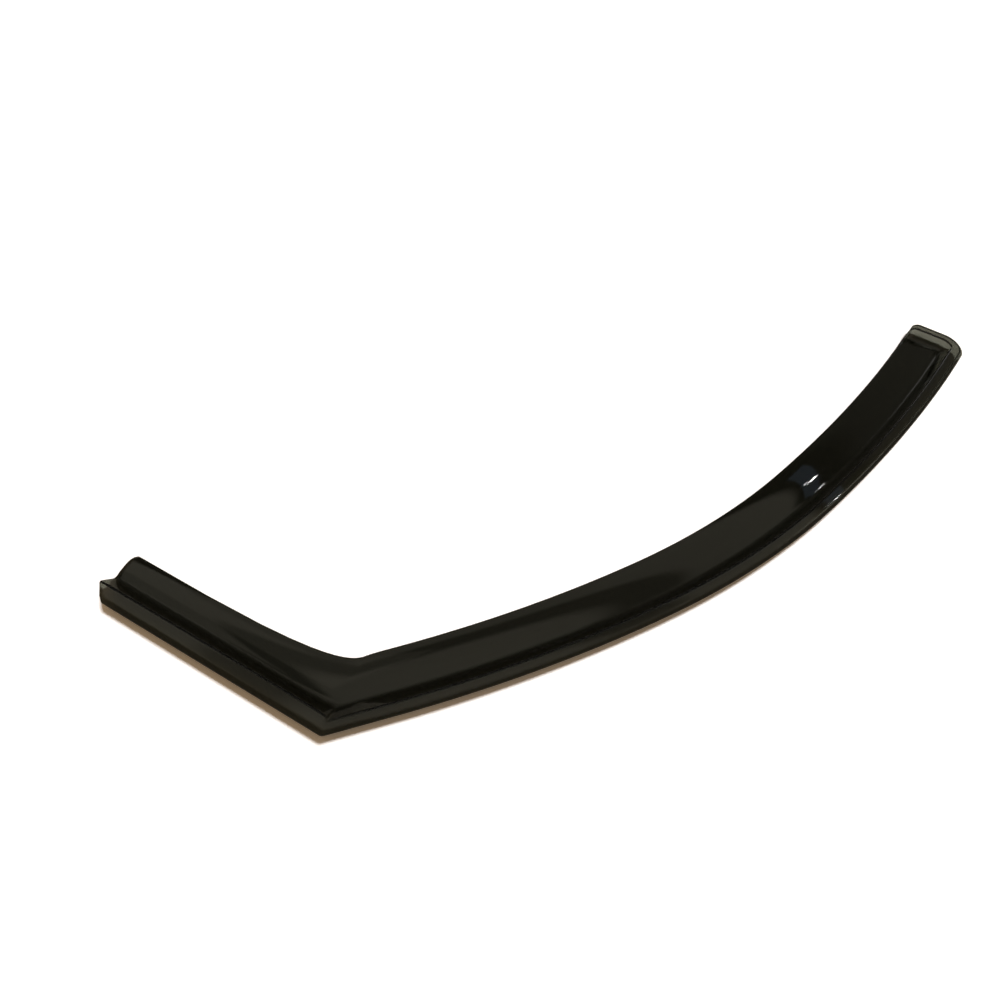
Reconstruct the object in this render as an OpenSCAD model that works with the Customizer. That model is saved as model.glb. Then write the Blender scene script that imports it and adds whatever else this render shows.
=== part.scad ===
// Stick-on wind and rain deflector for the front side window of a car,
// left-hand side, moulded in one piece from smoke-tinted acrylic sheet.
// It is a long curved band with a short arm that runs down behind the door
// mirror. A narrow lip, a flat bonding flange and a sloping wall follow the
// outer edge and wrap round the rear end; the wide panel lies one step lower
// and ends in a free inner edge. It lies on the panel, flange uppermost.
// +X runs along the limb towards the rear of the car, +Y from the outer
// edge to the inner edge, +Z out of the bonding flange. Millimetres.

/* [Sheet] */
// Thickness of the moulded sheet
sheet = 3; // [2:0.1:4]

/* [Limb] */
// Straight stretch of the outer edge behind the rounded corner
limb_straight = 11; // [2:1:30]
// Length of the gently curved front stretch
limb_front_length = 290; // [200:5:400]
// How far the front stretch turns, in degrees
limb_front_turn = 9.7; // [4:0.5:16]
// Length of the tighter middle stretch
limb_middle_length = 240; // [160:5:340]
// How far the middle stretch turns, in degrees
limb_middle_turn = 13.4; // [6:0.5:22]
// Length of the rear stretch, up to the sharp rear corner
limb_rear_length = 421; // [300:5:500]
// How far the rear stretch turns, in degrees
limb_rear_turn = 10; // [4:0.5:18]
// Width of the limb at its front corner
front_width = 63.5; // [60:1:70]
// Width of the limb at its middle
middle_width = 69; // [62:1:76]
// Width of the limb at its rear end
rear_width = 77; // [68:1:84]

/* [Arm] */
// Length of the arm's outer edge, corner to tip
arm_length = 254; // [200:2:320]
// Width of the arm
arm_width = 54; // [50:1:60]
// How sharply the outline turns from the arm into the limb, in degrees
corner_turn = 42.6; // [30:1:50]
// How far to each side of that corner the outer edge is rounded
corner_outer_reach = 2; // [1.5:0.5:5]
// How far up the arm the inner edge starts to bend
corner_arm_reach = 160; // [120:1:165]
// How far along the limb the inner edge's bend ends
corner_limb_reach = 24; // [20:1:40]

/* [Arm tip] */
// How far the bevelled outer corner of the tip reaches across
tip_bevel_width = 16; // [8:1:24]
// How far that bevel runs along the arm
tip_bevel_reach = 18; // [6:1:24]
// Slant of the rest of the cut, in degrees
tip_slant = 5; // [0:1:20]
// Radius of the tip's inner corner
tip_inner_radius = 8; // [4:0.5:10]

/* [Rim] */
// Width of the outer lip along the arm
lip_arm = 5.5; // [4:0.1:7]
// Width of the outer lip at the front of the limb
lip_front = 4.2; // [3.6:0.1:6]
// Width of the outer lip at the middle of the limb
lip_middle = 4.8; // [3.8:0.1:7]
// Width of the outer lip at the rear of the limb
lip_rear = 6; // [4:0.1:8]
// How far the lip drops below the flange
lip_drop = 4; // [2:0.5:5]
// Width of the bonding flange along the arm
flange_arm = 11; // [8:0.5:13]
// Width of the bonding flange at the front of the limb
flange_front = 7; // [6:0.5:10]
// Width of the bonding flange at the middle of the limb
flange_middle = 9.5; // [8:0.5:12]
// Width of the bonding flange at the rear of the limb
flange_rear = 12; // [8:0.5:13]
// Width of the sloping wall along the arm, seen from above
wall_arm = 9; // [8:0.5:12]
// Width of the sloping wall at the front of the limb
wall_front = 12.5; // [9:0.5:14]
// Width of the sloping wall at the middle of the limb
wall_middle = 9.5; // [8:0.5:12]
// Width of the sloping wall at the rear of the limb
wall_rear = 8; // [7:0.5:10]
// How far the wall drops from the flange to the panel
wall_drop = 13; // [9:0.5:16]
// Inside radius of the bend between the lip and the flange
lip_bend = 0.4; // [0.2:0.1:2]
// Inside radius of the bend between the flange and the wall
flange_bend = 0.6; // [0.2:0.1:2]
// Inside radius of the bend between the wall and the panel
panel_bend = 5; // [2:0.5:6]

/* [Panel] */
// How far the middle of the panel rises above its edges
panel_crown = 1.5; // [0:0.1:3]

/* [Rear end] */
// How far the outline turns at the rear corner, in degrees
rear_turn = 97; // [88:0.5:100]
// Radius of the outer rear corner
rear_corner_radius = 32; // [31:0.5:44]
// Radius of the inner rear corner
rear_inner_radius = 9; // [4:0.5:12]
// Stretch of the inner edge over which the panel runs out into the rear end
rear_run_out = 66; // [56:1:90]

/* [Hidden] */
smoke = [0.15, 0.147, 0.13];

half = sheet / 2;
bend_steps = 3;
panel_bend_steps = 4;
corner_steps = 8;
arm_steps = 5;
rear_corner_steps = 10;
end_edge_steps = 3;
inner_corner_steps = 4;
station_pitch = 36;
panel_shares = [0.2, 0.42, 0.66, 0.85, 0.95, 1];
edge_angles = [30, -30];
degrees_per_radian = 180 / PI;

limb_lead = front_width * tan(corner_turn / 2) + corner_limb_reach + limb_straight;
limb_length = limb_lead + limb_front_length + limb_middle_length + limb_rear_length;
limb_arcs = [
    [limb_lead, 0],
    [limb_front_length, limb_front_turn],
    [limb_middle_length, limb_middle_turn],
    [limb_rear_length, limb_rear_turn]
];

function unit(v) = v / norm(v);
function heading_dir(h) = [cos(h), sin(h)];
function inward_dir(h) = [-sin(h), cos(h)];
function mix(a, b, share) = a + (b - a) * share;
function last(list) = list[len(list) - 1];

// The place [x, y, heading] after a run along one arc of a given length and turn
function after_arc(place, length, turn) =
    let (h = place.z)
    turn == 0
        ? [place.x + length * cos(h), place.y + length * sin(h), h]
        : let (r = length / turn * degrees_per_radian)
          [place.x + r * (sin(h + turn) - sin(h)), place.y + r * (cos(h) - cos(h + turn)), h + turn];

// The place on the limb's outer edge, s millimetres behind the corner
function along_limb(s, place, i = 0) =
    s <= limb_arcs[i][0] || i == len(limb_arcs) - 1
        ? after_arc(place, s, limb_arcs[i][1] * s / limb_arcs[i][0])
        : along_limb(s - limb_arcs[i][0], after_arc(place, limb_arcs[i][0], limb_arcs[i][1]), i + 1);

// The limb starts at the heading that lays its two ends along X
unturned_end = along_limb(limb_length, [0, 0, 0]);
limb_heading = -atan2(unturned_end.y, unturned_end.x);
arm_heading = limb_heading - corner_turn;
function limb_place(s) = along_limb(s, [0, 0, limb_heading]);

// A curve through a value at the limb's front, one at its middle and one at its rear
function through_three(front, middle, rear, s) =
    let (t = s / limb_length)
    front * (1 - t) * (1 - 2 * t) + middle * 4 * t * (1 - t) + rear * t * (2 * t - 1);

// The limb's width and its [lip, flange, wall] widths, s millimetres behind the corner
function limb_width(s) = through_three(front_width, middle_width, rear_width, s);
arm_rim = [lip_arm, flange_arm, wall_arm];
front_rim = [lip_front, flange_front, wall_front];
middle_rim = [lip_middle, flange_middle, wall_middle];
rear_rim = [lip_rear, flange_rear, wall_rear];
function limb_rim(s) = through_three(front_rim, middle_rim, rear_rim, s);

// A bend of radius r at point b of a section that comes from a and goes on to c,
// as [across, height, slope] triples; the slope is the tangent's angle
function bend(a, b, c, r, steps) =
    let (
        slope_in = atan2((b - a).y, (b - a).x),
        slope_out = atan2((c - b).y, (c - b).x),
        turn = slope_out - slope_in,
        reach = r * tan(abs(turn) / 2),
        start = b - reach * unit(b - a),
        side = turn > 0 ? 1 : -1,
        centre = start + side * r * [-sin(slope_in), cos(slope_in)]
    )
    [for (k = [0:steps])
        let (slope = slope_in + turn * k / steps)
        [centre.x + side * r * sin(slope), centre.y - side * r * cos(slope), slope]];

// The section of the rim's middle surface, from the outer edge to the wall's foot.
// The corner points are those of the upper face; each is moved half a sheet down.
function rim_section(rim) =
    let (
        edge = [0, sheet + wall_drop - lip_drop],
        lip_top = [rim[0], sheet + wall_drop],
        wall_top = lip_top + [rim[1], 0],
        wall_foot = wall_top + [rim[2], -wall_drop],
        beyond = wall_foot + [1, 0],
        lip_slope = atan2(lip_drop, rim[0]),
        upper = concat(
            [[edge.x + half * cos(lip_slope), edge.y + half * sin(lip_slope), lip_slope]],
            bend(edge, lip_top, wall_top, lip_bend + sheet, bend_steps),
            bend(lip_top, wall_top, wall_foot, flange_bend + sheet, bend_steps),
            bend(wall_top, wall_foot, beyond, panel_bend, panel_bend_steps)
        )
    )
    [for (p = upper) [p.x + half * sin(p.z), p.y - half * cos(p.z), p.z]];

// The whole section [across, height, slope] for given rim widths and an overall width
function section(rim, width) =
    let (points = rim_section(rim), foot = last(points), span = width - half - foot.x)
    concat(points, [for (t = panel_shares)
        [foot.x + span * t, panel_height(t, panel_crown), atan(panel_crown * 4 * (1 - 2 * t) / span)]]);

// Height of the panel's middle surface, at a share of the way from the wall to the edge
function panel_height(t, crown) = half + crown * 4 * t * (1 - t);

lines = len(section(arm_rim, arm_width));

// A point of a station: plan position, height, inward direction and slope
function station_point(xy, p, inward) = [xy.x, xy.y, p.y, inward.x, inward.y, p.z];

// How far the tip's cut lies beyond the end of the outer edge, at a distance across
function tip_reach(d, width) =
    let (
        start = width - tip_inner_radius,
        bevel = min(d, tip_bevel_width) / tip_bevel_width * tip_bevel_reach,
        slant = max(d - tip_bevel_width, 0) * tan(tip_slant),
        past = min(max(d - start, 0), tip_inner_radius)
    )
    bevel + slant - (tip_inner_radius - sqrt(pow(tip_inner_radius, 2) - pow(past, 2)));

// Point at a heading on its way round the corner of a line that runs a distance d
// inside the outer edge, where the inner edge runs at a distance edge. It lies on
// the parabola that touches the arm and the limb at its reach to each side.
function corner_point(d, edge, heading) =
    let (
        vertex = d / cos(corner_turn / 2) * inward_dir((arm_heading + limb_heading) / 2),
        arm_reach = mix(corner_outer_reach, corner_arm_reach, pow(d / edge, 2)),
        limb_reach = mix(corner_outer_reach, corner_limb_reach, pow(d / edge, 2)),
        from_arm = arm_reach * sin(heading - arm_heading),
        to_limb = limb_reach * sin(limb_heading - heading),
        share = from_arm / (from_arm + to_limb)
    )
    vertex
        - pow(1 - share, 2) * arm_reach * heading_dir(arm_heading)
        + pow(share, 2) * limb_reach * heading_dir(limb_heading);

arm_section = section(arm_rim, arm_width);
tip_station = [for (p = arm_section)
    station_point(
        -(arm_length + tip_reach(p.x, arm_width) - half) * heading_dir(arm_heading)
            + p.x * inward_dir(arm_heading),
        p, inward_dir(arm_heading))];

corner_stations = [for (k = [0:corner_steps])
    let (
        share = k / corner_steps,
        h = mix(arm_heading, limb_heading, share),
        width = mix(arm_width, front_width, share * (2 - share)),
        sec = section(mix(arm_rim, front_rim, share), width)
    )
    [for (p = sec) station_point(corner_point(p.x, last(sec).x, h), p, inward_dir(h))]];

arm_stations = [for (k = [0:arm_steps - 1])
    [for (j = [0:lines - 1]) mix(tip_station[j], corner_stations[0][j], k / arm_steps)]];

// Stations square to the limb, up to where the rear corner starts to turn
rear_tangent = rear_corner_radius * tan(rear_turn / 2);
square_end = limb_length - max(rear_tangent, rear_run_out);
limb_steps = ceil((square_end - limb_lead) / station_pitch);
limb_stations = [for (k = [0:limb_steps])
    let (
        s = mix(limb_lead, square_end, k / limb_steps),
        place = limb_place(s),
        n = inward_dir(place.z)
    )
    [for (p = section(limb_rim(s), limb_width(s))) station_point([place.x, place.y] + p.x * n, p, n)]];

// The rear end: stations start on the outline, run square across the rim and
// then meet in one point of the inner edge, where the last square station ends
rear_start = limb_length - rear_tangent;
rear_place = limb_place(rear_start);
rear_centre = [rear_place.x, rear_place.y] + rear_corner_radius * inward_dir(rear_place.z);
end_heading = rear_place.z + rear_turn;
end_start = rear_centre - rear_corner_radius * inward_dir(end_heading);
end_length = (rear_width - half - rear_corner_radius * (1 - cos(rear_turn))) / sin(rear_turn);
pole = last(last(limb_stations));
pole_xy = [pole[0], pole[1]];
inner_rear = end_start + end_length * heading_dir(end_heading);
run_out_dir = unit(pole_xy - inner_rear);
run_out_heading = atan2(run_out_dir.y, run_out_dir.x);
inner_turn = (run_out_heading - end_heading + 360) % 360;
inner_tangent = rear_inner_radius * tan(inner_turn / 2);
inner_round_start = inner_rear - inner_tangent * heading_dir(end_heading);
inner_centre = inner_round_start + rear_inner_radius * inward_dir(end_heading);

// From square to the end edge over to straight along the inner edge
function mix_dir(share) = unit(mix(inward_dir(end_heading), run_out_dir, share));

// Each station's start on the outline, its direction, its share of the way to the
// inner edge and how far along the limb its rim widths are read
rear_starts = concat(
    [for (s = [square_end + station_pitch / 2:station_pitch / 2:rear_start - 1])
        let (place = limb_place(s))
        [[place.x, place.y], inward_dir(place.z), 0, s]],
    [for (k = [0:rear_corner_steps])
        let (h = rear_place.z + rear_turn * k / rear_corner_steps)
        [rear_centre - rear_corner_radius * inward_dir(h), inward_dir(h), 0, rear_start]],
    [for (k = [1:end_edge_steps])
        let (share = k / end_edge_steps)
        [mix(end_start, inner_round_start, share), mix_dir(share / 2), share / 2, rear_start]],
    [for (k = [1:inner_corner_steps])
        let (share = k / inner_corner_steps)
        [inner_centre - rear_inner_radius * inward_dir(end_heading + inner_turn * share),
         mix_dir((1 + share) / 2), (1 + share) / 2, rear_start]]
);

rear_stations = [for (start = rear_starts)
    let (
        n = start[1],
        rim = rim_section(limb_rim(start[3])),
        foot = start[0] + last(rim).x * n,
        crown = panel_crown * (1 - start[2])
    )
    concat(
        [for (p = rim) station_point(start[0] + p.x * n, p, n)],
        [for (t = panel_shares)
            station_point(mix(foot, pole_xy, t), [0, panel_height(t, crown), 0], n)]
    )];

stations = concat(arm_stations, corner_stations, limb_stations, rear_stations);
pole_station = len(stations) - len(rear_stations) - 1;
end_station = len(stations) - 1;
grid_size = len(stations) * lines;

// Index of a grid point; all stations past the pole share its inner point
function at(i, j) = (i > pole_station && j == lines - 1 ? pole_station : i) * lines + j;

grid = [for (st = stations) each st];
function mid_point(p) = [p[0], p[1], p[2]];
function up_normal(p) = [-sin(p[5]) * p[3], -sin(p[5]) * p[4], cos(p[5])];

// The outline of the sheet as grid indices, counter-clockwise from above
outline = concat(
    [for (i = [0:end_station]) at(i, 0)],
    [for (j = [1:lines - 2]) at(end_station, j)],
    [for (i = [pole_station:-1:0]) at(i, lines - 1)],
    [for (j = [lines - 2:-1:1]) at(0, j)]
);
outline_size = len(outline);

// A point of the rounded edge, at an angle above the middle of the sheet
function edge_point(k, angle) =
    let (
        p = grid[outline[k]],
        before = mid_point(grid[outline[(k + outline_size - 1) % outline_size]]),
        after = mid_point(grid[outline[(k + 1) % outline_size]]),
        up = up_normal(p),
        out = unit(cross(after - before, up))
    )
    mid_point(p) + half * (cos(angle) * out + sin(angle) * up);

unplaced_points = concat(
    [for (p = grid) mid_point(p) + half * up_normal(p)],
    [for (p = grid) mid_point(p) - half * up_normal(p)],
    [for (angle = edge_angles) for (k = [0:outline_size - 1]) edge_point(k, angle)]
);
low = [for (axis = [0:2]) min([for (p = unplaced_points) p[axis]])];
high = [for (axis = [0:2]) max([for (p = unplaced_points) p[axis]])];
base_centre = [(low.x + high.x) / 2, (low.y + high.y) / 2, low.z];

// Faces wind clockwise when they are seen from outside
upper_faces = [for (i = [0:end_station - 1]) for (j = [0:lines - 2])
    each at(i, j + 1) == at(i + 1, j + 1)
        ? [[at(i, j), at(i, j + 1), at(i + 1, j)]]
        : [[at(i, j), at(i, j + 1), at(i + 1, j + 1)], [at(i, j), at(i + 1, j + 1), at(i + 1, j)]]];
lower_faces = [for (f = upper_faces) [f[2] + grid_size, f[1] + grid_size, f[0] + grid_size]];

// The four lines of the edge: upper face, two rounded lines, lower face
function edge_index(row, k) =
    row == 0 ? outline[k]
    : row == 3 ? outline[k] + grid_size
    : 2 * grid_size + (row - 1) * outline_size + k;
edge_faces = [for (k = [0:outline_size - 1]) for (row = [0:2])
    let (
        next = (k + 1) % outline_size,
        a = edge_index(row, k),
        b = edge_index(row, next),
        c = edge_index(row + 1, next),
        d = edge_index(row + 1, k)
    )
    each [[a, b, c], [a, c, d]]];

module visor_shell() {
    color(smoke)
        translate(-base_centre)
            polyhedron(
                points = unplaced_points,
                faces = concat(upper_faces, lower_faces, edge_faces)
            );
}

visor_shell();
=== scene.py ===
"""Dresses a one-piece window rain deflector of smoke acrylic for its photograph.

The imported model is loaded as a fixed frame.  Its one node is replaced by the
same shell worked out more finely: the sheet's middle surface is a grid of
stations along the outline and lines across the section, and both faces and the
rounded edge follow from it.  Lengths are millimetres until the points are
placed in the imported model's box, which is in metres.
"""

import logging
from dataclasses import dataclass, field
from enum import Enum

import bpy
import numpy as np
from mathutils import Matrix, Vector


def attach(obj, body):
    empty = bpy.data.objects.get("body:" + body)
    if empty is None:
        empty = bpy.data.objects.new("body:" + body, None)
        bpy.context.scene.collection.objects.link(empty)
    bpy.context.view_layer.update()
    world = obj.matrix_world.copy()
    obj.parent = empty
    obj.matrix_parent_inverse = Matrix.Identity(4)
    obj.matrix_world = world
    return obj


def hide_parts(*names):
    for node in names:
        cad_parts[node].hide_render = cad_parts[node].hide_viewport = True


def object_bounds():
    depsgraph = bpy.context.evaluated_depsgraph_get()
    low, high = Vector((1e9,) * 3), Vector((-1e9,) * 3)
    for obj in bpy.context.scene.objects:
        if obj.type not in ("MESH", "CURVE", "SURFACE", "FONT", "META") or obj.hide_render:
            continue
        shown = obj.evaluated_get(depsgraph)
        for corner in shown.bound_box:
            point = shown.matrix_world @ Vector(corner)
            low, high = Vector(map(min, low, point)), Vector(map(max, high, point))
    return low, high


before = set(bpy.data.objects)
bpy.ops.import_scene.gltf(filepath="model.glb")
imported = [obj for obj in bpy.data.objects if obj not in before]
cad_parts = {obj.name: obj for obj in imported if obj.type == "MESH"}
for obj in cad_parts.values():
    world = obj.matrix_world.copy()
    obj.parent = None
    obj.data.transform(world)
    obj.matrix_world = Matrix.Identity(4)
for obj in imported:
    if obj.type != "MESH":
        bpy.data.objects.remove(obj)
cad_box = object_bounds()

LOG = logging.getLogger("rain_deflector")

# The Mix node keeps its number sockets and its colour sockets side by side.
MIX_SHARE, NUMBER_A, NUMBER_B, NUMBER_OUT = 0, 2, 3, 0
COLOUR_A, COLOUR_B, COLOUR_OUT = 6, 7, 2


def heading_dir(heading: np.ndarray) -> np.ndarray:
    """Return the unit plan vectors (cos h, sin h) of headings in radians."""
    return np.stack([np.cos(heading), np.sin(heading)], axis=-1)


def inward_dir(heading: np.ndarray) -> np.ndarray:
    """Return the unit plan vectors (-sin h, cos h), to the left of the headings."""
    return np.stack([-np.sin(heading), np.cos(heading)], axis=-1)


def mix(start: np.ndarray, end: np.ndarray, share: np.ndarray) -> np.ndarray:
    """Return start + (end - start) * share."""
    return start + (end - start) * share


def unit(vectors: np.ndarray) -> np.ndarray:
    """Return the vectors scaled to length one along their last axis."""
    return vectors / np.linalg.norm(vectors, axis=-1, keepdims=True)


def quads_between(first: np.ndarray, second: np.ndarray) -> np.ndarray:
    """Return the quads between two grids of point indices, one row for each quad.

    Args:
        first: the indices along one side, a row for each strip.
        second: the indices of the points beside them, of the same shape.

    Returns:
        Rows of (this, next row, next row beside, beside).
    """
    return np.stack([first[:-1], first[1:], second[1:], second[:-1]], axis=-1).reshape(-1, 4)


@dataclass(frozen=True)
class LimbOutline:
    """The limb's outer edge: a straight lead and three tangent arcs.

    Each arc is a length and the angle it turns in degrees; the whole edge is
    turned so that its two ends lie along X.
    """

    lengths: tuple[float, ...] = (59.758, 290.0, 240.0, 421.0)
    turns: tuple[float, ...] = (0.0, 9.7, 13.4, 10.0)

    @property
    def length(self) -> float:
        """Return the edge's length from the front corner to the sharp rear corner."""
        return sum(self.lengths)

    def unturned(self, s: np.ndarray) -> tuple[np.ndarray, np.ndarray]:
        """Return places and headings on the edge when it starts along X.

        On an arc of length L that turns T, the heading after a run d is
        h + T d / L, and the chord of that run is d sin(a) / a long at the mean
        heading, where a is half the angle turned.

        Args:
            s: distances along the edge.

        Returns:
            Plan points and headings in radians.
        """
        place = np.zeros((len(s), 2))
        heading = np.zeros(len(s))
        left = np.array(s, dtype=float)
        for index, (length, turn) in enumerate(zip(self.lengths, np.radians(self.turns))):
            is_last = index == len(self.lengths) - 1
            run = np.maximum(left, 0.0) if is_last else np.clip(left, 0.0, length)
            turned = turn * run / length
            chord = run * np.sinc(turned / 2 / np.pi)
            place += chord[:, None] * heading_dir(heading + turned / 2)
            heading += turned
            left -= length
        return place, heading

    @property
    def heading(self) -> float:
        """Return the start heading that lays the edge's two ends along X."""
        end, _ = self.unturned(np.array([self.length]))
        return -float(np.arctan2(end[0, 1], end[0, 0]))

    def at(self, s: np.ndarray) -> tuple[np.ndarray, np.ndarray]:
        """Return places and headings on the turned edge.

        Args:
            s: distances along the edge.

        Returns:
            Plan points and headings in radians.
        """
        place, heading = self.unturned(np.atleast_1d(s))
        start = np.array(self.heading)
        turned = place[:, :1] * heading_dir(start) + place[:, 1:] * inward_dir(start)
        return turned, heading + self.heading


@dataclass(frozen=True)
class Section:
    """The section across the sheet: lip, flange, wall and crowned panel.

    Rim widths are (lip, flange, wall), read at the arm and at the limb's
    front, middle and rear.
    """

    sheet: float = 3.0
    arm_rim: tuple[float, float, float] = (5.5, 11.0, 9.0)
    front_rim: tuple[float, float, float] = (4.2, 7.0, 12.5)
    middle_rim: tuple[float, float, float] = (4.8, 9.5, 9.5)
    rear_rim: tuple[float, float, float] = (6.0, 12.0, 8.0)
    lip_drop: float = 4.0
    wall_drop: float = 13.0
    lip_bend: float = 3.4
    flange_bend: float = 3.6
    panel_bend: float = 5.0
    crown: float = 1.5
    bend_lines: int = 8
    panel_lines: int = 26

    @property
    def half(self) -> float:
        """Return half the sheet's thickness."""
        return self.sheet / 2

    @property
    def panel_shares(self) -> np.ndarray:
        """Return the panel lines' shares of the way from the wall to the inner edge.

        sin of a quarter turn packs the lines towards the edge, where the arm's
        tip is rounded.
        """
        return np.sin(np.linspace(0, np.pi / 2, self.panel_lines + 1)[1:])

    def bend(self, a: np.ndarray, b: np.ndarray, c: np.ndarray, radius: float) -> np.ndarray:
        """Round the corner b of the sections a-b-c with an arc.

        The arc starts radius * tan(turn / 2) before b and its tangent's angle
        runs evenly from that of a-b to that of b-c.

        Args:
            a: points (station, 2) before the corner.
            b: the corner points.
            c: points after the corner.
            radius: the bend's radius.

        Returns:
            Rows of (across, height, slope), shaped (station, line, 3).
        """
        slope_in = np.arctan2(b[:, 1] - a[:, 1], b[:, 0] - a[:, 0])
        slope_out = np.arctan2(c[:, 1] - b[:, 1], c[:, 0] - b[:, 0])
        turn = slope_out - slope_in
        side = np.sign(turn)
        start = b - (radius * np.tan(np.abs(turn) / 2))[:, None] * heading_dir(slope_in)
        centre = start + (side * radius)[:, None] * inward_dir(slope_in)
        share = np.linspace(0, 1, self.bend_lines + 1)
        slope = slope_in[:, None] + turn[:, None] * share
        arc = centre[:, None] - (side * radius)[:, None, None] * inward_dir(slope)
        return np.concatenate([arc, slope[..., None]], axis=-1)

    def rim(self, widths: np.ndarray) -> np.ndarray:
        """Return the rim's middle surface from the outer edge to the wall's foot.

        The corners are those of the upper face; every point is then moved half
        a sheet along the downward normal (sin a, -cos a) of its slope a.

        Args:
            widths: (lip, flange, wall) for each station.

        Returns:
            Rows of (across, height, slope), shaped (station, line, 3).
        """
        top = self.sheet + self.wall_drop
        count = len(widths)
        edge = np.stack([np.zeros(count), np.full(count, top - self.lip_drop)], axis=-1)
        lip_top = np.stack([widths[:, 0], np.full(count, top)], axis=-1)
        wall_top = lip_top + np.stack([widths[:, 1], np.zeros(count)], axis=-1)
        wall_foot = wall_top + np.stack([widths[:, 2], np.full(count, -self.wall_drop)], axis=-1)
        beyond = wall_foot + np.array([1.0, 0.0])
        slope = np.arctan2(self.lip_drop, widths[:, 0])
        start = np.concatenate([edge + self.half * heading_dir(slope), slope[:, None]], axis=-1)
        rows = np.concatenate(
            [
                start[:, None],
                self.bend(edge, lip_top, wall_top, self.lip_bend),
                self.bend(lip_top, wall_top, wall_foot, self.flange_bend),
                self.bend(wall_top, wall_foot, beyond, self.panel_bend),
            ],
            axis=1,
        )
        rows[..., 0] += self.half * np.sin(rows[..., 2])
        rows[..., 1] -= self.half * np.cos(rows[..., 2])
        return rows

    def panel_height(self, share: np.ndarray, crown: np.ndarray) -> np.ndarray:
        """Return half + 4 crown t (1 - t), the panel's middle surface at a share t."""
        return self.half + crown * 4 * share * (1 - share)

    def whole(self, widths: np.ndarray, width: np.ndarray) -> np.ndarray:
        """Return the whole section for rim widths and overall widths.

        Args:
            widths: (lip, flange, wall) for each station.
            width: the overall width at each station.

        Returns:
            Rows of (across, height, slope), shaped (station, line, 3).
        """
        rim = self.rim(widths)
        foot = rim[:, -1, 0]
        span = (width - self.half - foot)[:, None]
        t = self.panel_shares
        rows = np.stack(
            [
                foot[:, None] + span * t,
                np.broadcast_to(self.panel_height(t, self.crown), span.shape[:1] + t.shape),
                np.arctan(self.crown * 4 * (1 - 2 * t) / span),
            ],
            axis=-1,
        )
        return np.concatenate([rim, rows], axis=1)


@dataclass
class Stations:
    """Grid rows of the middle surface: plan point, height, inward direction, slope."""

    plan: np.ndarray
    height: np.ndarray
    inward: np.ndarray
    slope: np.ndarray

    @staticmethod
    def over(plan: np.ndarray, inward: np.ndarray, rows: np.ndarray) -> "Stations":
        """Give plan points the heights and slopes of section rows.

        Args:
            plan: plan points, shaped (station, line, 2).
            inward: unit plan vectors, shaped (station, 2).
            rows: (across, height, slope), shaped (station, line, 3).

        Returns:
            The stations.
        """
        beside = np.broadcast_to(inward[:, None], plan.shape)
        return Stations(plan, rows[..., 1], beside, rows[..., 2])

    @staticmethod
    def across(starts: np.ndarray, inward: np.ndarray, rows: np.ndarray) -> "Stations":
        """Lay section rows from start points along inward directions.

        Args:
            starts: plan points on the outline, shaped (station, 2).
            inward: unit plan vectors, shaped (station, 2).
            rows: (across, height, slope), shaped (station, line, 3).

        Returns:
            The stations, each point at start + across * inward.
        """
        plan = starts[:, None] + rows[..., :1] * inward[:, None]
        return Stations.over(plan, inward, rows)

    @staticmethod
    def joined(parts: list["Stations"]) -> "Stations":
        """Return the parts' stations one after another."""
        return Stations(
            plan=np.concatenate([part.plan for part in parts]),
            height=np.concatenate([part.height for part in parts]),
            inward=np.concatenate([part.inward for part in parts]),
            slope=np.concatenate([part.slope for part in parts]),
        )

    @property
    def inner_end(self) -> np.ndarray:
        """Return the last station's plan point on the inner edge."""
        return self.plan[-1, -1]


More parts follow.
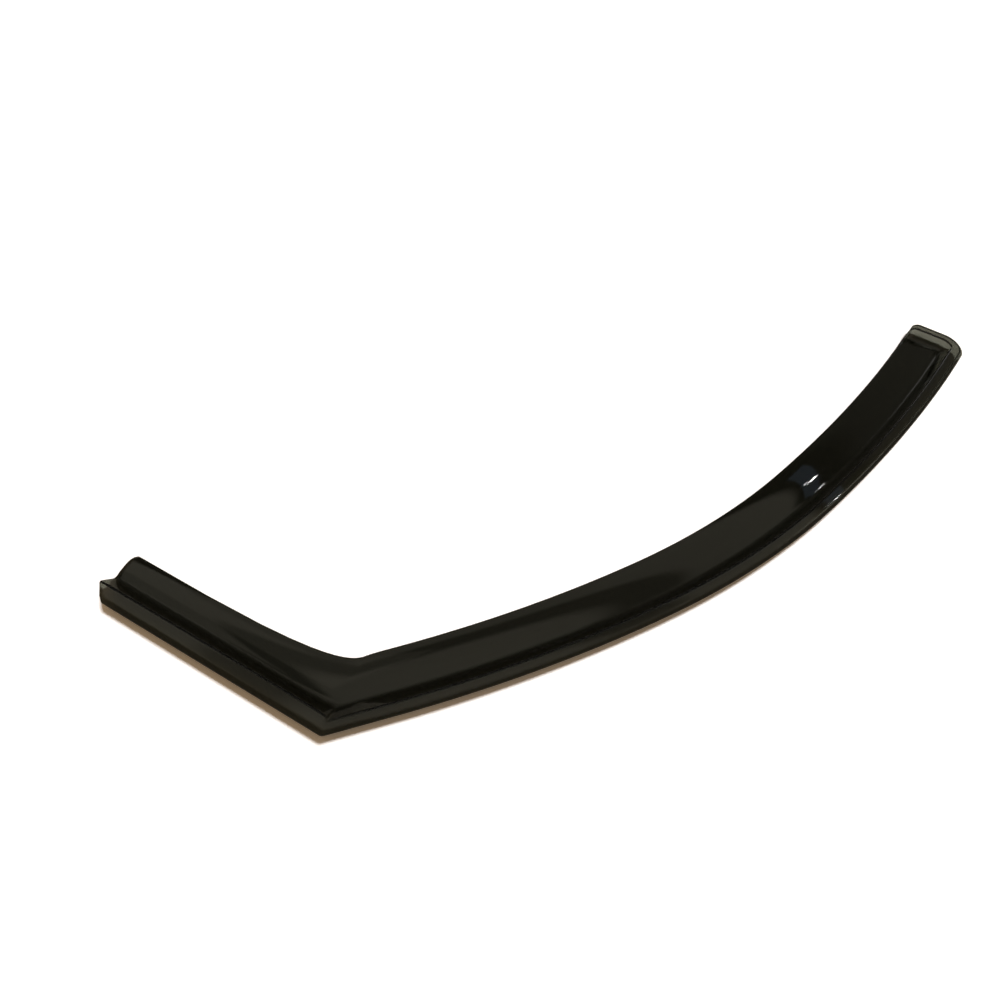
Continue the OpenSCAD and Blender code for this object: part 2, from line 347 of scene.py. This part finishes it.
@dataclass
class VisorShell:
    """The one-piece shell: limb, arm, open tip and wrapped rear end."""

    limb: LimbOutline = field(default_factory=LimbOutline)
    section: Section = field(default_factory=Section)
    widths: tuple[float, float, float] = (63.5, 69.0, 77.0)
    arm_length: float = 254.0
    arm_width: float = 54.0
    corner_turn: float = 42.6
    corner_outer_reach: float = 2.0
    corner_arm_reach: float = 160.0
    corner_limb_reach: float = 24.0
    tip_bevel_width: float = 16.0
    tip_bevel_reach: float = 18.0
    tip_slant: float = 5.0
    tip_inner_radius: float = 8.0
    rear_turn: float = 97.0
    rear_corner_radius: float = 32.0
    rear_inner_radius: float = 9.0
    rear_run_out: float = 66.0
    rear_corner_gap: float = 1.0
    station_pitch: float = 5.0
    arm_steps: int = 44
    corner_steps: int = 26
    rear_corner_steps: int = 34
    end_edge_steps: int = 9
    inner_corner_steps: int = 9
    edge_steps: int = 6

    def through_three(self, values: np.ndarray, s: np.ndarray) -> np.ndarray:
        """Return the quadratic through values at the limb's front, middle and rear.

        With t = s / length it is front (1-t)(1-2t) + middle 4t(1-t) + rear t(2t-1).

        Args:
            values: three values, or three rows of values.
            s: distances along the limb.

        Returns:
            The values at s, one row for each distance.
        """
        t = np.atleast_1d(s) / self.limb.length
        weights = np.stack([(1 - t) * (1 - 2 * t), 4 * t * (1 - t), t * (2 * t - 1)], axis=-1)
        return weights @ np.asarray(values)

    def limb_rim(self, s: np.ndarray) -> np.ndarray:
        """Return the rim widths (lip, flange, wall) at distances along the limb."""
        sec = self.section
        return self.through_three(np.array([sec.front_rim, sec.middle_rim, sec.rear_rim]), s)

    def tip_reach(self, across: np.ndarray) -> np.ndarray:
        """Return how far the tip's cut lies beyond the end of the outer edge.

        It rises evenly over the bevel, then by tan(slant), less the sagitta
        r - sqrt(r^2 - p^2) of the inner corner p past the round's start.
        """
        radius = self.tip_inner_radius
        bevel_width = self.tip_bevel_width
        past = np.clip(across - (self.arm_width - radius), 0, radius)
        bevel = np.minimum(across, bevel_width) / bevel_width * self.tip_bevel_reach
        slant = np.maximum(across - bevel_width, 0) * np.tan(np.radians(self.tip_slant))
        return bevel + slant - (radius - np.sqrt(radius**2 - past**2))

    def corner_reach(self, across: np.ndarray, inner: float) -> np.ndarray:
        """Return how far a line is bent to one side, growing as (across / edge)^2."""
        return mix(self.corner_outer_reach, inner, (across / across[..., -1:]) ** 2)

    def front(self) -> list[Stations]:
        """Build the arm, from its tip, and the front corner.

        A line at distance d has its corner V at d / cos(turn / 2) along the
        bisector and turns on the parabola V - (1-t)^2 A arm + t^2 B limb, whose
        heading is h where t = A sin(h - arm) / (A sin(h - arm) + B sin(limb - h)).

        Returns:
            The arm's stations and the corner's.
        """
        sec = self.section
        limb_heading = self.limb.heading
        arm_heading = limb_heading - np.radians(self.corner_turn)
        share = np.linspace(0, 1, self.corner_steps + 1)
        rim = mix(np.array(sec.arm_rim), np.array(sec.front_rim), share[:, None])
        rows = sec.whole(rim, mix(self.arm_width, self.widths[0], share * (2 - share)))
        heading = mix(arm_heading, limb_heading, share)
        inward = inward_dir(heading)
        bisector = inward_dir(np.array((arm_heading + limb_heading) / 2))
        vertex = (rows[..., 0] / np.cos(np.radians(self.corner_turn) / 2))[..., None] * bisector
        arm_reach = self.corner_reach(rows[..., 0], self.corner_arm_reach)
        limb_reach = self.corner_reach(rows[..., 0], self.corner_limb_reach)
        from_arm = arm_reach * np.sin(heading - arm_heading)[:, None]
        to_limb = limb_reach * np.sin(limb_heading - heading)[:, None]
        t = from_arm / (from_arm + to_limb)
        plan = (
            vertex
            - ((1 - t) ** 2 * arm_reach)[..., None] * heading_dir(np.array(arm_heading))
            + (t**2 * limb_reach)[..., None] * heading_dir(np.array(limb_heading))
        )
        corner = Stations.over(plan, inward, rows)
        first = rows[0]
        reach = self.arm_length + self.tip_reach(first[:, 0]) - sec.half
        tip = first[:, :1] * inward[0] - reach[:, None] * heading_dir(np.array(arm_heading))
        along = np.linspace(0, 1, self.arm_steps + 1)[:-1, None, None]
        shape = (self.arm_steps,) + first.shape[:1]
        arm = Stations(
            mix(tip, plan[0], along),
            np.broadcast_to(first[:, 1], shape),
            np.broadcast_to(inward[0], shape + (2,)),
            np.broadcast_to(first[:, 2], shape),
        )
        return [arm, corner]

    def square_stations(self) -> Stations:
        """Build the stations square to the limb, up to the rear run-out."""
        lead = self.limb.lengths[0]
        count = int(np.ceil((self.square_end - lead) / self.station_pitch)) + 1
        s = np.linspace(lead, self.square_end, count)
        place, heading = self.limb.at(s)
        rows = self.section.whole(self.limb_rim(s), self.through_three(np.array(self.widths), s))
        return Stations.across(place, inward_dir(heading), rows)

    @property
    def rear_start(self) -> float:
        """Return where along the limb the rear corner starts to turn."""
        return self.limb.length - self.rear_corner_radius * np.tan(np.radians(self.rear_turn) / 2)

    @property
    def square_end(self) -> float:
        """Return where along the limb the last square station stands."""
        return min(self.rear_start, self.limb.length - self.rear_run_out)

    def rear(self, pole: np.ndarray) -> Stations:
        """Build the rear end, whose stations run square across the rim to one pole.

        Args:
            pole: the plan point of the inner edge where they meet.

        Returns:
            Stations round the rear corner, along the end edge and round its
            inner corner.
        """
        sec = self.section
        pitch = self.station_pitch / 2
        s = np.arange(self.square_end + pitch, self.rear_start - self.rear_corner_gap, pitch)
        place, heading = self.limb.at(s)
        corner_place, corner_heading = self.limb.at(np.array([self.rear_start]))
        turn = np.radians(self.rear_turn)
        radius = self.rear_corner_radius
        centre = corner_place[0] + radius * inward_dir(corner_heading[0])
        round_heading = corner_heading[0] + turn * np.linspace(0, 1, self.rear_corner_steps + 1)
        end_heading = round_heading[-1]
        end_start = centre - radius * inward_dir(end_heading)
        end_length = (self.widths[2] - sec.half - radius * (1 - np.cos(turn))) / np.sin(turn)
        inner_rear = end_start + end_length * heading_dir(end_heading)
        run_out = unit(pole - inner_rear)
        inner_turn = (np.arctan2(run_out[1], run_out[0]) - end_heading) % (2 * np.pi)
        inner_radius = self.rear_inner_radius
        round_start = inner_rear - inner_radius * np.tan(inner_turn / 2) * heading_dir(end_heading)
        inner_centre = round_start + inner_radius * inward_dir(end_heading)
        edge_share = np.linspace(0, 1, self.end_edge_steps + 1)[1:, None]
        inner_share = np.linspace(0, 1, self.inner_corner_steps + 1)[1:, None]
        inner_heading = end_heading + inner_turn * inner_share[:, 0]
        flat_share = np.concatenate([edge_share / 2, (1 + inner_share) / 2])
        starts = np.concatenate(
            [
                place,
                centre - radius * inward_dir(round_heading),
                mix(end_start, round_start, edge_share),
                inner_centre - inner_radius * inward_dir(inner_heading),
            ]
        )
        inward = np.concatenate(
            [
                inward_dir(heading),
                inward_dir(round_heading),
                unit(mix(inward_dir(end_heading), run_out, flat_share)),
            ]
        )
        share = np.concatenate([np.zeros(len(place) + len(round_heading)), flat_share[:, 0]])
        rim_at = np.concatenate([s, np.full(len(starts) - len(s), self.rear_start)])
        rim = Stations.across(starts, inward, sec.rim(self.limb_rim(rim_at)))
        t = sec.panel_shares
        crown = (sec.crown * (1 - share))[:, None]
        panel = mix(rim.plan[:, -1:], pole, t[None, :, None])
        height = sec.panel_height(t, crown)
        return Stations(
            np.concatenate([rim.plan, panel], axis=1),
            np.concatenate([rim.height, height], axis=1),
            np.broadcast_to(inward[:, None], (len(starts), rim.plan.shape[1] + len(t), 2)),
            np.concatenate([rim.slope, np.zeros_like(height)], axis=1),
        )

    def surface(self) -> tuple[np.ndarray, list[tuple[int, ...]]]:
        """Work out the closed shell round the middle surface.

        A face point is middle +- half * n, where n = (-sin a * inward, cos a)
        for the slope a.  Edge points are middle + half (cos p * out + sin p * n)
        for angles p between the faces, where out is the unit cross product of
        the outline's tangent and n.

        Returns:
            Points in millimetres on the outline's own axes, and outward faces.
        """
        square = self.square_stations()
        before = self.front() + [square]
        whole = Stations.joined(before + [self.rear(square.inner_end)])
        rows, lines = whole.height.shape
        pole_row = sum(len(part.height) for part in before) - 1
        middle = np.concatenate([whole.plan, whole.height[..., None]], axis=-1).reshape(-1, 3)
        lean = -np.sin(whole.slope)[..., None] * whole.inward
        normal = np.concatenate([lean, np.cos(whole.slope)[..., None]], axis=-1).reshape(-1, 3)
        index = np.arange(rows * lines).reshape(rows, lines)
        index[pole_row:, -1] = index[pole_row, -1]
        outline = np.concatenate(
            [index[:, 0], index[-1, 1:-1], index[pole_row::-1, -1], index[0, -2:0:-1]]
        )
        half = self.section.half
        up = normal[outline]
        tangent = middle[np.roll(outline, -1)] - middle[np.roll(outline, 1)]
        out = unit(np.cross(tangent, up))
        angles = np.linspace(np.pi / 2, -np.pi / 2, self.edge_steps + 1)[1:-1, None, None]
        edge = middle[outline] + half * (np.cos(angles) * out + np.sin(angles) * up)
        offset = half * normal
        points = np.concatenate([middle + offset, middle - offset, edge.reshape(-1, 3)])
        face_points = rows * lines
        quads = quads_between(index[:, :-1], index[:, 1:])
        upper = [tuple(dict.fromkeys(map(int, quad))) for quad in quads]
        lower = [tuple(i + face_points for i in reversed(face)) for face in upper]
        between = np.arange(len(outline) * (self.edge_steps - 1)).reshape(-1, len(outline))
        strip = np.concatenate(
            [outline[None], between + 2 * face_points, outline[None] + face_points]
        )
        sides = quads_between(strip, np.roll(strip, -1, axis=1))
        used, faces = self.compacted(upper + lower + [tuple(map(int, side)) for side in sides])
        return points[used], faces

    @staticmethod
    def compacted(faces: list[tuple[int, ...]]) -> tuple[np.ndarray, list[tuple[int, ...]]]:
        """Leave out the points that no face uses.

        Args:
            faces: faces as point indices.

        Returns:
            The used points' old indices, and the faces with new ones.
        """
        used = np.unique(np.concatenate([np.array(face) for face in faces]))
        renumbered = np.zeros(used.max() + 1, dtype=int)
        renumbered[used] = np.arange(len(used))
        return used, [tuple(int(renumbered[i]) for i in face) for face in faces]

    @staticmethod
    def placed(points: np.ndarray, box: np.ndarray) -> np.ndarray:
        """Place points linearly in a box: low + (p - p_low) / (p_high - p_low) * (high - low).

        Args:
            points: the shell's points.
            box: the low and the high corner to fill, in metres.

        Returns:
            The points in metres in the part's frame.
        """
        start, end = points.min(axis=0), points.max(axis=0)
        return mix(box[0], box[1], (points - start) / (end - start))

    def build(self, box: np.ndarray) -> bpy.types.Object:
        """Make the shell's object, smooth-shaded, at the origin.

        Args:
            box: the low and the high corner that the shell fills, in metres.

        Returns:
            The object.
        """
        points, faces = self.surface()
        points = self.placed(points, box)
        mesh = bpy.data.meshes.new("visor_shell_fine")
        mesh.from_pydata(points.tolist(), [], faces)
        mesh.validate()
        mesh.shade_smooth()
        piece = bpy.data.objects.new("visor_shell_fine", mesh)
        bpy.context.scene.collection.objects.link(piece)
        LOG.info("%s: %d points, %d faces", piece.name, len(points), len(faces))
        return piece


class Tint(Enum):
    """Linear colours of the acrylic and of the studio."""

    SMOKE = (0.50, 0.50, 0.48)
    SMOKE_BODY = (0.22, 0.22, 0.16)
    SMOKE_SHADOW = (0.25, 0.21, 0.17)
    FLOOR = (0.80, 0.80, 0.80)
    FLOOR_SEEN = (1.3, 1.3, 1.3)
    FLOOR_THROUGH = (0.95, 0.98, 0.90)
    FLOOR_MIRRORED = (0.22, 0.22, 0.19)
    ROOM = (1.0, 0.95, 0.77)
    ROOM_LIGHT = (0.95, 0.62, 0.33)
    WHITE = (1.0, 1.0, 1.0)
    DAYLIGHT = (0.55, 0.75, 1.0)

    @property
    def rgba(self) -> tuple[float, ...]:
        """Return the colour with full alpha, as node sockets take it."""
        return (*self.value, 1.0)


class Nodes:
    """A small helper that adds and links nodes of one tree."""

    def __init__(self, tree: bpy.types.NodeTree) -> None:
        """Empty the tree and keep it.

        Args:
            tree: the node tree to fill.
        """
        self.tree = tree
        tree.nodes.clear()

    def add(self, kind: str, **values: object) -> bpy.types.Node:
        """Add a node and set its sockets or properties.

        Args:
            kind: the node's class name.
            **values: input sockets, with underscores for spaces, or properties.

        Returns:
            The new node.
        """
        node = self.tree.nodes.new(kind)
        for name, value in values.items():
            socket = node.inputs.get(name.replace("_", " "))
            if socket is None:
                setattr(node, name, value)
            else:
                socket.default_value = value
        return node

    def link(self, source: bpy.types.NodeSocket, target: bpy.types.NodeSocket) -> None:
        """Link an output socket to an input socket."""
        self.tree.links.new(source, target)

    def math(
        self, operation: str, first: bpy.types.NodeSocket, second: bpy.types.NodeSocket | float
    ) -> bpy.types.NodeSocket:
        """Add a math node on a socket and a second socket or number.

        Args:
            operation: the node's operation.
            first: the socket of its first value.
            second: a socket or a number.

        Returns:
            The node's output socket.
        """
        node = self.add("ShaderNodeMath", operation=operation)
        self.link(first, node.inputs[0])
        if isinstance(second, float):
            node.inputs[1].default_value = second
        else:
            self.link(second, node.inputs[1])
        return node.outputs[0]

    def mixed(
        self, share: bpy.types.NodeSocket, plain: bpy.types.NodeSocket | Tint, seen: Tint
    ) -> bpy.types.NodeSocket:
        """Mix a tint or a colour socket with a second tint.

        Args:
            share: the socket of the second tint's share.
            plain: the first tint, or the socket of the first colour.
            seen: the second tint.

        Returns:
            The socket of the mixed colour.
        """
        node = self.add("ShaderNodeMix", data_type="RGBA")
        if isinstance(plain, Tint):
            node.inputs[COLOUR_A].default_value = plain.rgba
        else:
            self.link(plain, node.inputs[COLOUR_A])
        node.inputs[COLOUR_B].default_value = seen.rgba
        self.link(share, node.inputs[MIX_SHARE])
        return node.outputs[COLOUR_OUT]


@dataclass(frozen=True)
class SmokeAcrylic:
    """Polished smoke-tinted acrylic: clear, dark and glossy, with faint waviness.

    Shadow rays pass through it with a warm tint, because light that crosses
    the sheet reaches the table.
    """

    ior: float = 1.49
    roughness: tuple[float, float] = (0.015, 0.05)
    wave_scale: float = 7.0
    wave_detail: float = 2.0
    wave_strength: float = 0.012
    wave_height: float = 0.002
    haze_scale: float = 60.0
    haze_detail: float = 5.0
    haze_grain: float = 0.6
    haze_range: tuple[float, float] = (0.35, 0.75)
    body_density: float = 540.0

    def material(self) -> bpy.types.Material:
        """Build the node material."""
        material = bpy.data.materials.new("smoke_acrylic_polished")
        material.use_nodes = True
        nodes = Nodes(material.node_tree)
        coord = nodes.add("ShaderNodeTexCoord")
        wave = nodes.add("ShaderNodeTexNoise", Scale=self.wave_scale, Detail=self.wave_detail)
        haze = nodes.add(
            "ShaderNodeTexNoise",
            Scale=self.haze_scale,
            Detail=self.haze_detail,
            Roughness=self.haze_grain,
        )
        bump = nodes.add(
            "ShaderNodeBump", Strength=self.wave_strength, Distance=self.wave_height
        )
        (haze_low, haze_high), (smooth, rough_most) = self.haze_range, self.roughness
        rough = nodes.add(
            "ShaderNodeMapRange",
            From_Min=haze_low,
            From_Max=haze_high,
            To_Min=smooth,
            To_Max=rough_most,
        )
        body = nodes.add("ShaderNodeBsdfPrincipled", IOR=self.ior, Transmission_Weight=1.0)
        body.inputs["Base Color"].default_value = Tint.SMOKE.rgba
        shade = nodes.add("ShaderNodeBsdfTransparent", Color=Tint.SMOKE_SHADOW.rgba)
        path = nodes.add("ShaderNodeLightPath")
        chosen = nodes.add("ShaderNodeMixShader")
        output = nodes.add("ShaderNodeOutputMaterial")
        nodes.link(coord.outputs["Object"], wave.inputs["Vector"])
        nodes.link(coord.outputs["Object"], haze.inputs["Vector"])
        nodes.link(wave.outputs["Fac"], bump.inputs["Height"])
        nodes.link(haze.outputs["Fac"], rough.inputs["Value"])
        nodes.link(rough.outputs["Result"], body.inputs["Roughness"])
        nodes.link(bump.outputs["Normal"], body.inputs["Normal"])
        nodes.link(path.outputs["Is Shadow Ray"], chosen.inputs[0])
        nodes.link(body.outputs["BSDF"], chosen.inputs[1])
        nodes.link(shade.outputs["BSDF"], chosen.inputs[2])
        nodes.link(chosen.outputs["Shader"], output.inputs["Surface"])
        body_tint = nodes.add("ShaderNodeVolumeAbsorption", Density=self.body_density)
        body_tint.inputs["Color"].default_value = Tint.SMOKE_BODY.rgba
        nodes.link(body_tint.outputs["Volume"], output.inputs["Volume"])
        return material


@dataclass(frozen=True)
class Table:
    """The white table top: a plain disc that keeps the object's shadow."""

    radius: float = 14.0
    sides: int = 96
    drop: float = 0.0002

    def material(self) -> bpy.types.Material:
        """Build a matt white, clipped to white in view and dimmer in and through the acrylic."""
        material = bpy.data.materials.new("white_table")
        material.use_nodes = True
        nodes = Nodes(material.node_tree)
        matt = nodes.add("ShaderNodeBsdfDiffuse")
        output = nodes.add("ShaderNodeOutputMaterial")
        path = nodes.add("ShaderNodeLightPath")
        colour = nodes.mixed(path.outputs["Is Glossy Ray"], Tint.FLOOR, Tint.FLOOR_MIRRORED)
        colour = nodes.mixed(path.outputs["Is Transmission Ray"], colour, Tint.FLOOR_THROUGH)
        colour = nodes.mixed(path.outputs["Is Camera Ray"], colour, Tint.FLOOR_SEEN)
        nodes.link(colour, matt.inputs["Color"])
        nodes.link(matt.outputs["BSDF"], output.inputs["Surface"])
        return material

    def build(self) -> bpy.types.Object:
        """Make the disc just under the lowest point of the object."""
        turn = np.linspace(0, 2 * np.pi, self.sides, endpoint=False)
        depth = np.full((self.sides, 1), -self.drop)
        rim = np.concatenate([heading_dir(turn) * self.radius, depth], axis=1)
        mesh = bpy.data.meshes.new("table")
        mesh.from_pydata(rim.tolist(), [], [tuple(range(self.sides))])
        mesh.materials.append(self.material())
        table = bpy.data.objects.new("table", mesh)
        bpy.context.scene.collection.objects.link(table)
        LOG.info("%s: radius %.1f m", table.name, self.radius)
        return table


def hang(light: bpy.types.Object, azimuth: float, elevation: float, distance: float) -> None:
    """Hang a lamp in a direction from the object and turn it to the object.

    Args:
        light: the lamp's object.
        azimuth: degrees from +X towards +Y.
        elevation: degrees above the table.
        distance: metres from the frame's origin.
    """
    around, up = np.radians([azimuth, elevation])
    towards = Vector((*heading_dir(around) * np.cos(up), np.sin(up)))
    light.rotation_euler = towards.to_track_quat("Z", "Y").to_euler()
    light.location = towards * distance
    bpy.context.scene.collection.objects.link(light)
    LOG.info("%s: azimuth %.0f, elevation %.0f", light.name, azimuth, elevation)


@dataclass(frozen=True)
class SunLamp:
    """A far lamp: its direction in degrees, its strength and its angular width."""

    name: str
    azimuth: float
    elevation: float
    strength: float
    angle: float
    is_mirrored: bool
    distance: float = 3.0

    def build(self) -> bpy.types.Object:
        """Add the lamp, which shows in gloss only where it is mirrored."""
        lamp = bpy.data.lights.new(self.name, "SUN")
        lamp.energy = self.strength
        lamp.angle = np.radians(self.angle)
        light = bpy.data.objects.new(self.name, lamp)
        light.visible_glossy = self.is_mirrored
        light.visible_transmission = self.is_mirrored
        hang(light, self.azimuth, self.elevation, self.distance)
        return light


@dataclass(frozen=True)
class Softbox:
    """A rectangular lamp facing the object, which shows in the gloss.

    Its direction is given in degrees and its size and distance in metres.
    """

    name: str
    azimuth: float
    elevation: float
    distance: float
    width: float
    height: float
    radiance: float
    tint: Tint = Tint.WHITE

    def build(self) -> bpy.types.Object:
        """Add the lamp; its power is pi * area * radiance."""
        lamp = bpy.data.lights.new(self.name, "AREA")
        lamp.shape = "RECTANGLE"
        lamp.size, lamp.size_y = self.width, self.height
        lamp.energy = np.pi * self.width * self.height * self.radiance
        lamp.color = self.tint.value
        light = bpy.data.objects.new(self.name, lamp)
        hang(light, self.azimuth, self.elevation, self.distance)
        return light


@dataclass(frozen=True)
class Studio:
    """Soft light in a dim room: a broad key, two small sparks and faint softboxes.

    The ceiling's steps are (sine of the elevation, brightness).  Below the
    backdrop's top, given as a sine too, the sheet is seen against white.
    """

    lamps: tuple[SunLamp, ...] = (
        SunLamp("key", 15.6, 62.0, 2.8, 14.0, False),
        SunLamp("spark", 3.7, 42.8, 0.008, 0.9, True),
        SunLamp("spark_faint", 5.0, 43.6, 0.0006, 0.5, True),
    )
    softboxes: tuple[Softbox, ...] = (
        Softbox("rear_window", 27.0, 21.5, 4.0, 0.9, 0.75, 0.4),
        Softbox("near_wall", -72.0, 32.0, 3.0, 6.0, 0.9, 0.35),
        Softbox("far_strip", 70.0, 36.0, 3.0, 3.2, 0.35, 0.15),
        Softbox("arm_side", 118.0, 57.0, 3.0, 1.3, 1.5, 0.14, Tint.ROOM),
        Softbox("sky_window", 4.0, 41.6, 4.0, 1.3, 0.15, 0.22, Tint.DAYLIGHT),
    )
    ceiling: tuple[tuple[float, float], ...] = (
        (0.0, 0.04),
        (0.45, 0.10),
        (0.60, 0.10),
        (0.64, 0.05),
        (0.70, 0.05),
        (0.715, 0.40),
        (0.85, 0.40),
        (0.87, 0.14),
        (0.92, 0.14),
        (0.945, 0.46),
        (1.0, 0.50),
    )
    backdrop_top: float = 0.25
    backdrop_level: float = 1.0

    def banded(self, nodes: Nodes, rise: bpy.types.NodeSocket) -> bpy.types.NodeSocket:
        """Return the ceiling's brightness as rings of panels.

        Args:
            nodes: the world's nodes.
            rise: the sine of the elevation.

        Returns:
            The socket of the brightness, read off the ceiling's steps.
        """
        ramp = nodes.add("ShaderNodeValToRGB")
        steps = ramp.color_ramp.elements
        while len(steps) < len(self.ceiling):
            steps.new(0.5)  # Each step's place follows below.
        for step, (place, level) in zip(steps, self.ceiling):
            step.position = place
            step.color = (level, level, level, 1.0)
        nodes.link(rise, ramp.inputs["Fac"])
        return ramp.outputs["Color"]

    def sky(self) -> bpy.types.World:
        """Make a room that is brightest overhead, behind a white backdrop.

        The camera sees the backdrop, also through the sheet, and nothing else
        does: light that a matt face has scattered comes from the room.
        """
        world = bpy.data.worlds.new("studio_sky")
        world.use_nodes = True
        nodes = Nodes(world.node_tree)
        coord = nodes.add("ShaderNodeTexCoord")
        split = nodes.add("ShaderNodeSeparateXYZ")
        path = nodes.add("ShaderNodeLightPath")
        low = nodes.math("LESS_THAN", split.outputs["Z"], self.backdrop_top)
        through = nodes.math("MULTIPLY", path.outputs["Is Transmission Ray"], low)
        direct = nodes.math("MAXIMUM", through, path.outputs["Is Camera Ray"])
        unscattered = nodes.math("LESS_THAN", path.outputs["Diffuse Depth"], 1.0)
        seen = nodes.math("MULTIPLY", direct, unscattered)
        strength = nodes.add("ShaderNodeMix")
        strength.inputs[NUMBER_B].default_value = self.backdrop_level
        glow = nodes.add("ShaderNodeBackground")
        output = nodes.add("ShaderNodeOutputWorld")
        nodes.link(coord.outputs["Generated"], split.inputs["Vector"])
        nodes.link(seen, strength.inputs[MIX_SHARE])
        nodes.link(self.banded(nodes, split.outputs["Z"]), strength.inputs[NUMBER_A])
        room = nodes.mixed(path.outputs["Is Diffuse Ray"], Tint.ROOM, Tint.ROOM_LIGHT)
        nodes.link(nodes.mixed(seen, room, Tint.WHITE), glow.inputs["Color"])
        nodes.link(strength.outputs[NUMBER_OUT], glow.inputs["Strength"])
        nodes.link(glow.outputs["Background"], output.inputs["Surface"])
        bpy.context.scene.world = world
        return world

    def build(self) -> None:
        """Add the sky and all lamps."""
        self.sky()
        for lamp in self.lamps + self.softboxes:
            lamp.build()


@dataclass(frozen=True)
class PhotoCamera:
    """The photograph's camera, close above the front corner of the object.

    The lens is given as the focal length in pixels of a frame 1000 wide; the
    sensor is in millimetres, and the nearest and farthest depths in metres.
    """

    place: tuple[float, float, float] = (-0.3572, -0.2191, 0.5043)
    heading: float = 53.21
    pitch: float = 57.08
    roll: float = -5.005
    focal_pixels: float = 529.06
    frame_pixels: float = 1000.0
    sensor: float = 36.0
    depths: tuple[float, float] = (0.01, 100.0)

    def build(self) -> bpy.types.Object:
        """Create the camera from its heading, downward pitch and roll."""
        camera = bpy.data.cameras.new("photo_camera")
        camera.sensor_width = self.sensor
        camera.lens = self.focal_pixels / self.frame_pixels * self.sensor
        camera.clip_start, camera.clip_end = self.depths
        holder = bpy.data.objects.new("photo_camera", camera)
        heading, pitch, roll = np.radians([self.heading, self.pitch, self.roll])
        ahead = Vector((np.cos(heading), np.sin(heading), 0.0))
        right = Vector((np.sin(heading), -np.cos(heading), 0.0))
        forward = ahead * np.cos(pitch) - Vector((0, 0, 1)) * np.sin(pitch)
        down = -ahead * np.sin(pitch) - Vector((0, 0, 1)) * np.cos(pitch)
        rolled_right = right * np.cos(roll) + down * np.sin(roll)
        rolled_down = down * np.cos(roll) - right * np.sin(roll)
        turn = Matrix((rolled_right, -rolled_down, -forward)).transposed()
        holder.matrix_world = Matrix.Translation(self.place) @ turn.to_4x4()
        bpy.context.scene.collection.objects.link(holder)
        bpy.context.scene.camera = holder
        return holder


def main() -> None:
    """Build the camera, the studio and the shell, and report each piece."""
    logging.basicConfig(level=logging.INFO, format="%(name)s: %(message)s")
    bpy.context.scene.view_settings.view_transform = "Standard"
    PhotoCamera().build()
    Studio().build()
    Table().build()
    shell = VisorShell().build(np.array(cad_box))
    shell.data.materials.append(SmokeAcrylic().material())
    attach(shell, "root")
    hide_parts("visor_shell")


if __name__ == "__main__":
    main()
